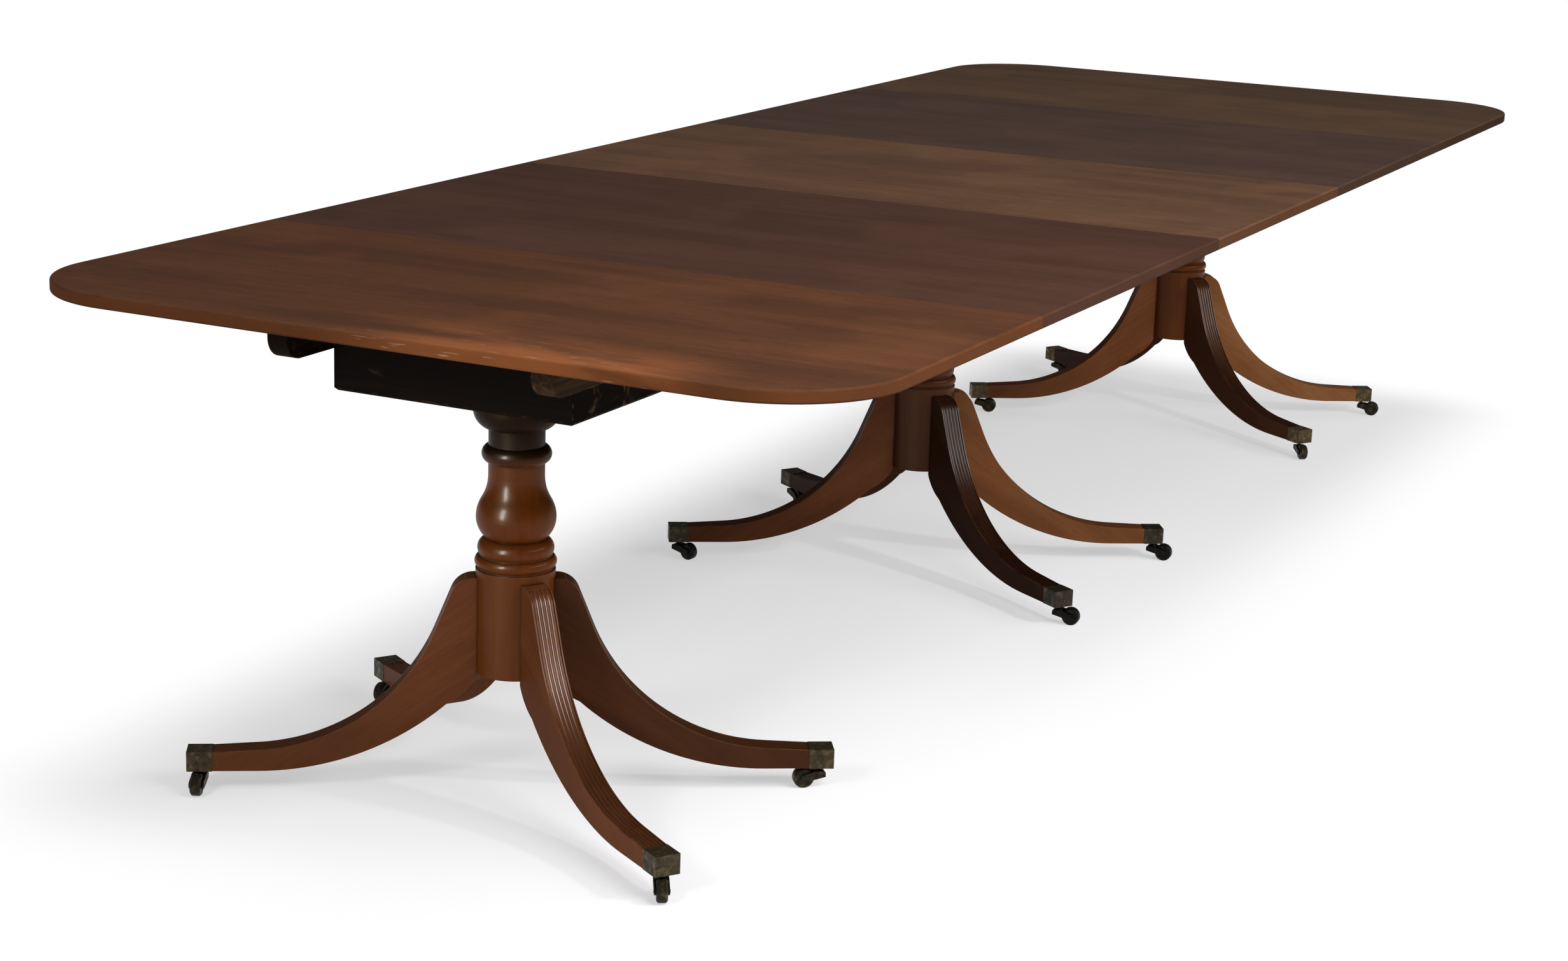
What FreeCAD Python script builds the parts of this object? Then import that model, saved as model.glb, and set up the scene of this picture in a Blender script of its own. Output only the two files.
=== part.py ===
import FreeCAD, Part
import math
import os

import Sketcher

# Long dining table on three turned pedestals.
# The top is three pedestal sections with two loose leaves between them.
# X runs along the table, Y across it and Z up from the floor.
# The near end is at -X, and the front long side is at -Y.

DIMENSIONS = [
    ("table_height", 720.0, "floor to upper face of the top"),
    ("table_width", 1306.0, "across the top"),
    ("top_thickness", 19.0, "boards of the top"),
    ("near_section", 640.0, "length of the near pedestal section"),
    ("near_leaf", 768.0, "length of the near loose leaf"),
    ("middle_section", 672.0, "length of the middle pedestal section"),
    ("far_leaf", 727.0, "length of the far loose leaf"),
    ("far_section", 716.0, "length of the far pedestal section"),
    ("seam_gap", 0.6, "open joint between neighbouring boards"),
    ("corner_radius", 180.0, "rounded corners of the two ends, in plan"),
    ("edge_round", 3.5, "worn round on the outer edges"),
    ("bearer_thickness", 32.0, "bearer under the top, across the table"),
    ("bearer_depth", 45.0, "bearer under the top, downwards"),
    ("bearer_setback", 42.0, "bearer end to the end of its section"),
    ("bearer_nose", 30.0, "round under each bearer end"),
    ("block_length", 340.0, "block on the column, along the table"),
    ("block_width", 380.0, "block on the column, between the bearers"),
    ("block_bottom", 597.0, "under face of the block"),
    ("block_chamfer", 4.0, "eased lower edges of the block"),
    ("tenon_radius", 30.0, "round tenon of the column in the block"),
    ("tenon_height", 62.0, "round tenon of the column in the block"),
    ("drum_radius", 57.0, "plain drum that the legs are let into"),
    ("drum_bottom", 180.0, "under face of the drum"),
    ("drum_top", 333.0, "where the drum meets the lower bead"),
    ("bead_height", 16.0, "each of the two beads above the drum"),
    ("bead_quirk", 2.5, "groove under each bead"),
    ("bead_round", 10.0, "round of the lower bead"),
    ("cove_round", 16.0, "round of the upper bead, up to the waist"),
    ("pinch_radius", 43.5, "waist under the vase"),
    ("pinch_height", 378.0, "waist under the vase"),
    ("vase_radius", 57.0, "widest part of the vase"),
    ("vase_height", 408.0, "widest part of the vase"),
    ("vase_shoulder", 50.0, "round above the widest part of the vase"),
    ("neck_radius", 40.0, "neck above the vase"),
    ("neck_bottom", 468.0, "where the vase runs into the neck"),
    ("ring_height", 500.0, "middle of the ring"),
    ("ring_half", 13.0, "half the height of the ring"),
    ("ring_round", 13.6, "round of the ring"),
    ("collar_bottom", 538.0, "under face of the collar"),
    ("collar_foot", 46.0, "collar at its under face"),
    ("collar_radius", 62.0, "collar under the block"),
    ("collar_lip", 31.0, "upright edge of the collar"),
    ("collar_round", 30.0, "round under the upright edge of the collar"),
    ("leg_azimuth", 57.5, "legs from the length of the table, in degrees"),
    ("leg_thickness", 36.0, "sabre leg, sideways"),
    ("leg_top", 321.0, "upper face of the shoulder"),
    ("shoulder_start", 59.0, "flat of the shoulder, from the column axis"),
    ("shoulder_radius", 34.0, "round of the shoulder"),
    ("shoulder_turn", 68.0, "steepest fall of the leg, in degrees"),
    ("shank_length", 61.0, "straight under the shoulder"),
    ("toe_fall", 3.0, "fall of the upper face at the toe, in degrees"),
    ("reed_start", 22.0, "fall of the shoulder where the reeds start, in degrees"),
    ("reed_pitch", 6.4, "between neighbouring reeds of a leg"),
    ("reed_height", 1.7, "reeds on the upper face of a leg"),
    ("reed_sink", 0.2, "reeds below the plain margins beside them"),
    ("heel_reach", 93.0, "lowest corner of the root, from the column axis"),
    ("heel_height", 137.0, "lowest corner of the root, from the floor"),
    ("heel_round", 80.0, "round of the root underside, from its lowest corner up to the drum"),
    ("heel_fall", 42.0, "fall of the underside at the heel, in degrees"),
    ("dovetail_depth", 22.0, "dovetail of the leg in the drum"),
    ("dovetail_neck", 20.0, "dovetail width at the drum face"),
    ("dovetail_root", 26.0, "dovetail width inside the drum"),
    ("dovetail_height", 122.0, "dovetail, upwards from the drum's under face"),
    ("cap_reach", 464.0, "outer end of the brass toe cap, from the column axis"),
    ("cap_length", 36.0, "toe cap, along the leg"),
    ("cap_width", 37.0, "toe cap, sideways"),
    ("cap_bottom", 33.0, "under face of the toe cap"),
    ("cap_height", 29.0, "toe cap, upwards"),
    ("cap_wall", 2.0, "sheet of the toe cap"),
    ("boss_radius", 6.5, "boss under the toe cap"),
    ("boss_height", 2.5, "boss under the toe cap"),
    ("pintle_radius", 3.6, "upright pin of the castor"),
    ("pintle_top", 50.0, "upper end of the castor pin"),
    ("running_gap", 0.08, "radial play of a turning pin"),
    ("wheel_radius", 15.5, "castor wheel"),
    ("wheel_width", 15.0, "castor wheel"),
    ("wheel_chamfer", 2.2, "eased rim of the castor wheel"),
    ("castor_trail", 25.0, "axle behind the castor pin"),
    ("axle_radius", 2.5, "axle of the castor wheel"),
    ("axle_boss", 5.5, "round end of each fork cheek"),
    ("cheek", 2.6, "fork cheek"),
    ("cheek_gap", 0.5, "wheel side to fork cheek"),
    ("yoke_top", 26.0, "upper face of the fork"),
    ("yoke_bottom", 17.0, "under face of the fork"),
    ("yoke_half", 6.5, "fork ahead of the castor pin"),
    ("yoke_back", 9.5, "fork behind the castor pin, at its upper face"),
    ("throat_gap", 1.3, "wheel rim to the throat of the fork"),
    ("peg_radius", 5.0, "peg in the edge of a leaf"),
    ("peg_seat", 22.0, "peg inside the leaf"),
    ("peg_reach", 18.0, "peg beyond the leaf"),
    ("peg_pitch", 300.0, "between neighbouring pegs"),
    ("slip_gap", 0.4, "play of a peg or tongue that draws out"),
    ("tongue_width", 40.0, "brass tongue under a leaf edge"),
    ("tongue_seat", 62.0, "tongue screwed under the leaf"),
    ("tongue_reach", 38.0, "tongue beyond the leaf"),
    ("tongue_thickness", 3.5, "brass tongue"),
    ("tongue_place", 420.0, "tongue from the middle of the table"),
    ("keeper_length", 26.0, "brass keeper, along the table"),
    ("keeper_cheek", 9.0, "keeper either side of its slot"),
    ("keeper_floor", 4.0, "keeper under its slot"),
    ("keeper_setback", 6.0, "keeper from the seam"),
]

doc = FreeCAD.newDocument("TriplePedestalTable")
sheet = doc.addObject("Spreadsheet::Sheet", "Sizes")
for row, (alias, value, note) in enumerate(DIMENSIONS, start=1):
    sheet.set(f"A{row}", note)
    sheet.set(f"B{row}", str(value))
    sheet.setAlias(f"B{row}", alias)
doc.recompute()


class Size:
    """A length or angle: its number, and the spreadsheet expression that gives it."""

    def __init__(self, value, text):
        self.value = value
        self.text = text

    def __add__(self, other):
        other = as_size(other)
        return Size(self.value + other.value, f"({self.text} + {other.text})")

    def __sub__(self, other):
        other = as_size(other)
        return Size(self.value - other.value, f"({self.text} - {other.text})")

    def __mul__(self, other):
        other = as_size(other)
        return Size(self.value * other.value, f"({self.text} * {other.text})")

    def __truediv__(self, other):
        other = as_size(other)
        return Size(self.value / other.value, f"({self.text} / {other.text})")

    def __neg__(self):
        return Size(-self.value, f"(0 - {self.text})")


def as_size(number):
    """Wrap a bare number, so that it can be used beside the spreadsheet sizes."""
    if isinstance(number, Size):
        return number
    return Size(float(number), f"({number})")


def sine(angle):
    return Size(math.sin(math.radians(angle.value)), f"sin({angle.text})")


def cosine(angle):
    return Size(math.cos(math.radians(angle.value)), f"cos({angle.text})")


def tangent(angle):
    return Size(math.tan(math.radians(angle.value)), f"tan({angle.text})")


def size(alias):
    """Read one driving dimension back from the spreadsheet."""
    return Size(float(sheet.get(alias)), f"Sizes.{alias}")


class Outline:
    """A chain of lines and arcs in a sketch, with every corner bound to sizes."""

    def __init__(self, body, name, role, place=FreeCAD.Placement()):
        planes = [plane for plane in body.Origin.OriginFeatures if plane.Role == role]
        self.sketch = body.newObject("Sketcher::SketchObject", name)
        self.sketch.AttachmentSupport = [(planes[0], "")]
        self.sketch.MapMode = "FlatFace"
        self.sketch.AttachmentOffset = place
        self.corners = []
        self.pieces = []

    def start(self, x, y):
        self.corners = [(as_size(x), as_size(y))]
        return self

    def line(self, x, y):
        self.corners.append((as_size(x), as_size(y)))
        self.pieces.append(None)
        return self

    def arc(self, x, y, radius, left):
        """Add an arc that turns left or right along the direction of travel."""
        self.corners.append((as_size(x), as_size(y)))
        self.pieces.append((as_size(radius), left))
        return self

    def close(self):
        """Join the last corner to the first, and draw the chain."""
        self.pieces.append(None)
        return self.draw(closed=True)

    def draw(self, closed=False):
        """Draw the chain and bind its sizes."""
        count = len(self.corners)
        last = len(self.pieces) - 1
        for index, piece in enumerate(self.pieces):
            first = point_of(self.corners[index])
            second = point_of(self.corners[(index + 1) % count])
            if piece is None:
                self.sketch.addGeometry(Part.LineSegment(first, second))
            else:
                self.sketch.addGeometry(arc_between(first, second, piece[0].value, piece[1]))
        for index in range(last + 1 if closed else last):
            following = (index + 1) % count
            leaving = self.last_end(index)
            entering = self.first_end(following)
            self.sketch.addConstraint(Sketcher.Constraint("Coincident", index, leaving, following, entering))
        for index in range(last + 1):
            self.bind_corner(index, self.first_end(index), self.corners[index])
        if not closed:
            self.bind_corner(last, self.last_end(last), self.corners[-1])
        for index, piece in enumerate(self.pieces):
            if piece is not None:
                self.bind(Sketcher.Constraint("Radius", index, piece[0].value), piece[0])
        return self.sketch

    def first_end(self, index):
        """Give the end of a piece that its chain enters by: a right-hand arc is stored backwards."""
        piece = self.pieces[index]
        return 2 if piece is not None and not piece[1] else 1

    def last_end(self, index):
        return 3 - self.first_end(index)

    def bind_corner(self, index, end, corner):
        for kind, axis, coordinate in (("DistanceX", -2, corner[0]), ("DistanceY", -1, corner[1])):
            if abs(coordinate.value) < 1e-9:
                self.sketch.addConstraint(Sketcher.Constraint("PointOnObject", index, end, axis))
            else:
                self.bind(Sketcher.Constraint(kind, -1, 1, index, end, coordinate.value), coordinate)

    def bind(self, constraint, measure):
        number = self.sketch.addConstraint(constraint)
        self.sketch.setExpression(f"Constraints[{number}]", measure.text)


def point_of(corner):
    return FreeCAD.Vector(corner[0].value, corner[1].value, 0.0)


def arc_between(first, second, radius, left):
    """Draw the shorter arc of a given radius from one point to another."""
    middle = (first + second) / 2
    across = second - first
    side = FreeCAD.Vector(-across.y, across.x, 0.0) / across.Length
    depth = math.sqrt(radius ** 2 - (across.Length / 2) ** 2)
    centre = middle + side * (depth if left else -depth)
    through = centre + (side * -radius if left else side * radius)
    return Part.Arc(first, through, second)


def circle(body, name, role, x, y, radius, place=FreeCAD.Placement()):
    """Sketch one circle whose place and radius are bound to sizes."""
    outline = Outline(body, name, role, place)
    centre = FreeCAD.Vector(as_size(x).value, as_size(y).value, 0.0)
    outline.sketch.addGeometry(Part.Circle(centre, FreeCAD.Vector(0, 0, 1), radius.value))
    for kind, axis, coordinate in (("DistanceX", -2, as_size(x)), ("DistanceY", -1, as_size(y))):
        if abs(coordinate.value) < 1e-9:
            outline.sketch.addConstraint(Sketcher.Constraint("PointOnObject", 0, 3, axis))
        else:
            outline.bind(Sketcher.Constraint(kind, -1, 1, 0, 3, coordinate.value), coordinate)
    outline.bind(Sketcher.Constraint("Radius", 0, radius.value), radius)
    return outline.sketch


def new_body(label, place=FreeCAD.Placement()):
    body = doc.addObject("PartDesign::Body", label)
    body.Label = label
    body.Placement = place
    return body


def pad(body, sketch, length, symmetric=False):
    feature = body.newObject("PartDesign::Pad", f"{sketch.Name}_pad")
    feature.Profile = sketch
    feature.setExpression("Length", length.text)
    if symmetric:
        feature.SideType = "Symmetric"
    return feature


def pocket(body, sketch, length=None, symmetric=False, along_normal=False):
    """Cut a sketch into a body, right through where no length is given, and check that it cuts."""
    doc.recompute()
    before = body.Shape.Volume
    feature = body.newObject("PartDesign::Pocket", f"{sketch.Name}_pocket")
    feature.Profile = sketch
    feature.Reversed = along_normal
    if length is None:
        feature.Type = "ThroughAll"
    else:
        feature.setExpression("Length", length.text)
    if symmetric:
        feature.SideType = "Symmetric"
    doc.recompute()
    if body.Shape.Volume > before - 1.0:
        raise RuntimeError(f"{sketch.Name} cuts nothing from {body.Label}")
    return feature


def dress_edges(body, kind, base, names, amount):
    """Fillet or chamfer the named edges of a feature."""
    feature = body.newObject(f"PartDesign::{kind}", f"{base.Name}_{kind.lower()}")
    feature.Base = (base, names)
    feature.setExpression("Radius" if kind == "Fillet" else "Size", amount.text)
    return feature


def shifted(x=0.0, y=0.0, z=0.0, turn=0.0):
    """Give a placement from a shift and a turn in degrees about the upright axis."""
    return FreeCAD.Placement(FreeCAD.Vector(x, y, z), FreeCAD.Rotation(FreeCAD.Vector(0, 0, 1), turn))


def box(name, length, width, height, place=FreeCAD.Placement()):
    solid = doc.addObject("Part::Box", name)
    for side, measure in (("Length", length), ("Width", width), ("Height", height)):
        solid.setExpression(side, measure.text)
    solid.Placement = place
    return solid


def cylinder(name, radius, height, place=FreeCAD.Placement()):
    solid = doc.addObject("Part::Cylinder", name)
    solid.setExpression("Radius", radius.text)
    solid.setExpression("Height", height.text)
    solid.Placement = place
    return solid


def combine(kind, name, base, tool):
    """Cut or fuse two solids."""
    result = doc.addObject(f"Part::{kind}", name)
    result.Base = base
    result.Tool = tool
    return result


def group(label, members):
    """Collect separate solids of one kind into one node."""
    compound = doc.addObject("Part::Compound", label)
    compound.Label = label
    compound.Links = members
    return compound


underside = size("table_height") - size("top_thickness")
drum_radius = size("drum_radius")
cap_inner_end = size("cap_reach") - size("cap_length")
pintle_reach = size("cap_reach") - size("cap_length") / 2

# The toe of a leg lies this far inside the faces of its brass cap.
toe_step = size("cap_wall") / 4

# Reeds side by side on the upper face of a leg.
REEDS = 5


def board(label, centre, length, rounded_end, peg_hole, peg_ends):
    """Make one board of the top, with rounded corners at one end and peg holes in its seams.

    rounded_end is -1 for the near end, 1 for the far end and 0 for neither.
    """
    body = new_body(label, shifted(x=centre))
    half = (length - size("seam_gap")) / 2
    side = size("table_width") / 2
    corner = size("corner_radius")
    outline = Outline(body, f"{label}_plan", "XY_Plane", shifted(z=underside.value))
    if rounded_end < 0:
        outline.start(-half, -(side - corner)).arc(-(half - corner), -side, corner, True)
    else:
        outline.start(-half, -side)
    if rounded_end > 0:
        outline.line(half - corner, -side).arc(half, -(side - corner), corner, True)
        outline.line(half, side - corner).arc(half - corner, side, corner, True)
    else:
        outline.line(half, -side).line(half, side)
    if rounded_end < 0:
        outline.line(-(half - corner), side).arc(-half, side - corner, corner, True)
    else:
        outline.line(-half, side)
    plank = pad(body, outline.close(), size("top_thickness"))
    doc.recompute()
    seams = [end * half.value for end in peg_ends]
    names = [f"Edge{number}" for number, edge in enumerate(plank.Shape.Edges, start=1)
             if is_outer(edge, seams)]
    body.Tip = dress_edges(body, "Fillet", plank, names, size("edge_round"))
    for end in peg_ends:
        drill_peg_holes(body, label, end, half, peg_hole)
    return body


def is_outer(edge, seams):
    """Tell whether a level edge of a board lies away from its seams."""
    bounds = edge.BoundBox
    level = bounds.ZLength < 1e-6
    at_seam = any(abs(bounds.XMin - x) < 1e-3 and abs(bounds.XMax - x) < 1e-3 for x in seams)
    return level and not at_seam


def drill_peg_holes(body, label, end, half, peg_hole):
    """Drill a row of peg holes into one seam of a board."""
    middle = size("table_height") - size("top_thickness") / 2
    depth = size("peg_seat")
    face = FreeCAD.Placement(FreeCAD.Vector(0, 0, end * half.value), FreeCAD.Rotation())
    for number in (-1, 0, 1):
        name = f"{label}_peg_hole_{'far' if end > 0 else 'near'}_{number + 2}"
        hole = circle(body, name, "YZ_Plane", size("peg_pitch") * number, middle, peg_hole, face)
        pocket(body, hole, depth, along_normal=end < 0)


def bearers(prefix, centre, length):
    """Make the two bearers that run along a pedestal section, either side of its block."""
    half = length / 2 - size("bearer_setback")
    nose = size("bearer_nose")
    bottom = underside - size("bearer_depth")
    place = (size("block_width") + size("bearer_thickness")) / 2
    members = []
    for side in (-1, 1):
        name = f"{prefix}_bearer_{'front' if side < 0 else 'back'}"
        body = new_body(name, shifted(x=centre, y=side * place.value))
        outline = Outline(body, f"{name}_side", "XZ_Plane")
        outline.start(-half, underside).line(-half, bottom + nose).arc(nose - half, bottom, nose, True)
        outline.line(half - nose, bottom).arc(half, bottom + nose, nose, True).line(half, underside)
        pad(body, outline.close(), size("bearer_thickness"), symmetric=True)
        members.append(body)
    return group(f"{prefix}_bearers", members)


def block(prefix, centre):
    """Make the square block between column and top, with a socket for the column's tenon."""
    label = f"{prefix}_block"
    body = new_body(label, shifted(x=centre))
    bottom = size("block_bottom")
    half_length = size("block_length") / 2
    half_width = size("block_width") / 2
    outline = Outline(body, f"{label}_plan", "XY_Plane", shifted(z=bottom.value))
    outline.start(-half_length, -half_width).line(half_length, -half_width)
    outline.line(half_length, half_width).line(-half_length, half_width)
    slab = pad(body, outline.close(), underside - bottom)
    doc.recompute()
    lower = [f"Edge{number}" for number, edge in enumerate(slab.Shape.Edges, start=1)
             if edge.BoundBox.ZMax < bottom.value + 1e-6]
    body.Tip = dress_edges(body, "Chamfer", slab, lower, size("block_chamfer"))
    socket = circle(body, f"{label}_socket", "XY_Plane", 0, 0, size("tenon_radius"), shifted(z=bottom.value))
    pocket(body, socket, size("tenon_height"), along_normal=True)
    return body


def column(prefix, centre):
    """Turn the column, from the tenon in the block down to the drum, and cut the leg sockets."""
    label = f"{prefix}_column"
    body = new_body(label, shifted(x=centre))
    drum_top = size("drum_top")
    bead = size("bead_height")
    quirk = size("bead_quirk")
    neck = size("neck_radius")
    ring = size("ring_height")
    ring_half = size("ring_half")
    collar = size("collar_radius")
    lip_bottom = size("block_bottom") - size("collar_lip")
    first_bead = drum_top + quirk
    second_bead = first_bead + bead + quirk
    outline = Outline(body, f"{label}_profile", "XZ_Plane")
    outline.start(0, size("drum_bottom")).line(drum_radius, size("drum_bottom")).line(drum_radius, drum_top)
    outline.line(drum_radius - quirk, drum_top).line(drum_radius - quirk, first_bead)
    outline.arc(drum_radius - quirk, first_bead + bead, size("bead_round"), True)
    outline.line(drum_radius - quirk * 2, first_bead + bead).line(drum_radius - quirk * 2, second_bead)
    outline.arc(size("pinch_radius"), size("pinch_height"), size("cove_round"), True)
    vase_curve(outline, neck)
    outline.line(neck, ring - ring_half).arc(neck, ring + ring_half, size("ring_round"), True)
    outline.line(neck, size("collar_bottom")).line(size("collar_foot"), size("collar_bottom"))
    outline.arc(collar, lip_bottom, size("collar_round"), True)
    outline.line(collar, size("block_bottom")).line(size("tenon_radius"), size("block_bottom"))
    outline.line(size("tenon_radius"), size("block_bottom") + size("tenon_height"))
    outline.line(0, size("block_bottom") + size("tenon_height"))
    turned = body.newObject("PartDesign::Revolution", f"{label}_turned")
    turned.Profile = outline.close()
    turned.ReferenceAxis = (turned.Profile[0], ["V_Axis"])
    for name, turn in LEG_TURNS.items():
        socket = dovetail(body, f"{label}_{name}_socket", turn)
        pocket(body, socket, size("dovetail_height"), along_normal=True)
    return body


def vase_curve(outline, neck):
    """Draw the vase from its waist to the neck: a round belly, a round shoulder and a hollow above it.

    The belly and the shoulder are upright where they meet, and the hollow is upright at the neck.
    """
    widest = size("vase_radius")
    height = size("vase_height")
    tuck = widest - size("pinch_radius")
    drop = height - size("pinch_height")
    belly = (tuck * tuck + drop * drop) / (tuck * 2)
    swell = widest - neck
    rise = size("neck_bottom") - height
    both = (swell * swell + rise * rise) / (swell * 2)
    shoulder = size("vase_shoulder")
    share = shoulder / both
    outline.arc(widest, height, belly, True)
    outline.arc(widest - swell * share, height + rise * share, shoulder, True)
    outline.arc(neck, size("neck_bottom"), both - shoulder, False)


def dovetail(body, name, turn):
    """Sketch the dovetail between leg and drum on the level of the drum's under face."""
    inner = drum_radius - size("dovetail_depth")
    outer = drum_radius + size("dovetail_depth") / 4
    neck = size("dovetail_neck") / 2
    root = size("dovetail_root") / 2
    outline = Outline(body, name, "XY_Plane", shifted(z=size("drum_bottom").value, turn=turn))
    outline.start(inner, -root).line(outer, -neck).line(outer, neck).line(inner, root)
    return outline.close()


class UpperFace:
    """The upper face of a leg in its side view: shoulder, straight shank, sweep and toe."""

    def __init__(self):
        turn = size("shoulder_turn")
        fall = size("toe_fall")
        self.shoulder_x, self.shoulder_z = self.on_shoulder(turn)
        self.sweep_x = self.shoulder_x + size("shank_length") * cosine(turn)
        self.sweep_z = self.shoulder_z - size("shank_length") * sine(turn)
        self.toe_x = cap_inner_end
        self.toe_z = size("cap_bottom") + size("cap_height") - toe_step
        width = sine(turn) - sine(fall)
        height = cosine(fall) - cosine(turn)
        drop = self.sweep_z - self.toe_z - (self.toe_x - self.sweep_x) * tangent(fall)
        self.radius = drop / (height - width * tangent(fall))
        self.sweep_end_x = self.sweep_x + self.radius * width
        self.sweep_end_z = self.sweep_z - self.radius * height

    def on_shoulder(self, fall):
        """Give the point on the round of the shoulder where its face has fallen by an angle."""
        shoulder = size("shoulder_radius")
        x = size("shoulder_start") + shoulder * sine(fall)
        return x, size("leg_top") - shoulder * (as_size(1) - cosine(fall))

    def follow(self, outline):
        """Add shank, sweep and toe to an outline that stands at the end of the shoulder."""
        outline.line(self.sweep_x, self.sweep_z)
        outline.arc(self.sweep_end_x, self.sweep_end_z, self.radius, True)
        return outline.line(self.toe_x, self.toe_z)


def cut_reeds(body, label, face):
    """Cut the reeds into the upper face of a leg, from the round of the shoulder to the toe cap."""
    start_x, start_z = face.on_shoulder(size("reed_start"))
    path = Outline(body, f"{label}_reed_path", "XZ_Plane").start(start_x, start_z)
    path.arc(face.shoulder_x, face.shoulder_z, size("shoulder_radius"), False)
    spine = face.follow(path).draw()
    pitch = size("reed_pitch")
    height = size("reed_height")
    bottom = -(height + size("reed_sink"))
    radius = (pitch * pitch / 4 + height * height) / (height * 2)
    across = FreeCAD.Rotation(FreeCAD.Vector(1, 0, 0), size("reed_start").value)
    start = FreeCAD.Vector(0, start_z.value, start_x.value)
    section = Outline(body, f"{label}_reed_section", "YZ_Plane", FreeCAD.Placement(start, across))
    edge = -pitch * (REEDS / 2)
    section.start(edge, height).line(edge, bottom)
    for number in range(1, REEDS + 1):
        section.arc(edge + pitch * number, bottom, radius, False)
    section.line(-edge, height)
    profile = section.close()
    doc.recompute()
    before = body.Shape.Volume
    reeds = body.newObject("PartDesign::SubtractivePipe", f"{label}_reeds")
    reeds.Profile = profile
    reeds.Spine = (spine, ["Edge1", "Edge2", "Edge3", "Edge4"])
    doc.recompute()
    if body.Shape.Volume > before - 1.0:
        raise RuntimeError(f"the reeds cut nothing from {label}")


def leg(label, place):
    """Make one sabre leg: shoulder, sweep and toe, a dovetail at its root and a tenon in the toe cap."""
    body = new_body(label, place)
    face = UpperFace()
    wall = size("cap_wall")
    toe_bottom = size("cap_bottom") + toe_step
    toe = cap_inner_end
    under_radius = (size("heel_height") - toe_bottom) / (as_size(1) - cosine(size("heel_fall")))
    under_end = size("heel_reach") + under_radius * sine(size("heel_fall"))
    root = drum_radius - size("dovetail_depth") / 4
    outline = Outline(body, f"{label}_side", "XZ_Plane")
    outline.start(root, size("leg_top")).line(size("shoulder_start"), size("leg_top"))
    outline.arc(face.shoulder_x, face.shoulder_z, size("shoulder_radius"), False)
    face.follow(outline).line(toe, toe_bottom).line(under_end, toe_bottom)
    outline.arc(size("heel_reach"), size("heel_height"), under_radius, False)
    outline.arc(root, size("drum_bottom"), size("heel_round"), False)
    pad(body, outline.close(), size("leg_thickness"), symmetric=True)
    seat = circle(body, f"{label}_seat", "XY_Plane", 0, 0, drum_radius)
    pocket(body, seat, symmetric=True)
    cut_reeds(body, label, face)
    pad(body, dovetail(body, f"{label}_dovetail", 0), size("dovetail_height"))
    tenon_end = size("cap_reach") - wall
    tenon_half = size("cap_width") / 2 - wall
    tenon = Outline(body, f"{label}_toe", "XY_Plane", shifted(z=(size("cap_bottom") + wall).value))
    tenon.start(toe - wall * 2, -tenon_half).line(tenon_end, -tenon_half)
    tenon.line(tenon_end, tenon_half).line(toe - wall * 2, tenon_half)
    pad(body, tenon.close(), size("cap_height") - wall * 2)
    bore_radius = size("pintle_radius") + size("slip_gap")
    bore = circle(body, f"{label}_pintle_bore", "XY_Plane", pintle_reach, 0, bore_radius)
    pocket(body, bore, size("pintle_top") + size("slip_gap"), along_normal=True)
    return body


def toe_cap(name, place):
    """Make one brass toe cap: a box open to the leg, with a bored boss for the castor pin."""
    wall = size("cap_wall")
    half = size("cap_width") / 2
    bottom = size("cap_bottom")
    outer_place = place.multiply(shifted(cap_inner_end.value, -half.value, bottom.value))
    outer = box(f"{name}_outer", size("cap_length"), size("cap_width"), size("cap_height"), outer_place)
    hollow_start = cap_inner_end - wall
    inner_place = place.multiply(shifted(hollow_start.value, (wall - half).value, (bottom + wall).value))
    hollow_width = size("cap_width") - wall * 2
    hollow_height = size("cap_height") - wall * 2
    inner = box(f"{name}_inner", size("cap_length"), hollow_width, hollow_height, inner_place)
    boss_place = place.multiply(shifted(pintle_reach.value, 0, (bottom - size("boss_height")).value))
    boss = cylinder(f"{name}_boss", size("boss_radius"), size("boss_height"), boss_place)
    bore_radius = size("pintle_radius") + size("running_gap")
    bore = cylinder(f"{name}_bore", bore_radius, size("boss_height") + wall, boss_place)
    shell = combine("Cut", f"{name}_shell", outer, inner)
    blank = combine("Fuse", f"{name}_blank", shell, boss)
    return combine("Cut", name, blank, bore)


def castor_horn(label, place):
    """Make one brass castor fork with its upright pin and its riveted axle."""
    body = new_body(label, place)
    half = size("yoke_half")
    trail = size("castor_trail")
    axle_height = size("wheel_radius")
    boss = size("axle_boss")
    width = size("wheel_width") + (size("cheek_gap") + size("cheek")) * 2
    outline = Outline(body, f"{label}_side", "XZ_Plane")
    outline.start(-half, size("yoke_bottom")).line(boss, size("yoke_bottom") - boss / 2)
    outline.line(trail, axle_height - boss).arc(trail + boss, axle_height, boss, True)
    outline.arc(trail, axle_height + boss, boss, True)
    outline.line(size("yoke_back"), size("yoke_top")).line(-half / 2, size("yoke_top"))
    outline.arc(-half, size("yoke_top") - half / 2, half / 2, True)
    pad(body, outline.close(), width, symmetric=True)
    throat_radius = size("wheel_radius") + size("throat_gap")
    throat = circle(body, f"{label}_throat", "XZ_Plane", trail, axle_height, throat_radius)
    pocket(body, throat, size("wheel_width") + size("cheek_gap") * 2, symmetric=True)
    pin_foot = size("yoke_top") - half / 2
    pin = circle(body, f"{label}_pintle", "XY_Plane", 0, 0, size("pintle_radius"), shifted(z=pin_foot.value))
    pad(body, pin, size("pintle_top") - pin_foot)
    axle = circle(body, f"{label}_axle", "XZ_Plane", trail, axle_height, size("axle_radius"))
    pad(body, axle, width + size("cheek") / 2, symmetric=True)
    return body


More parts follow.
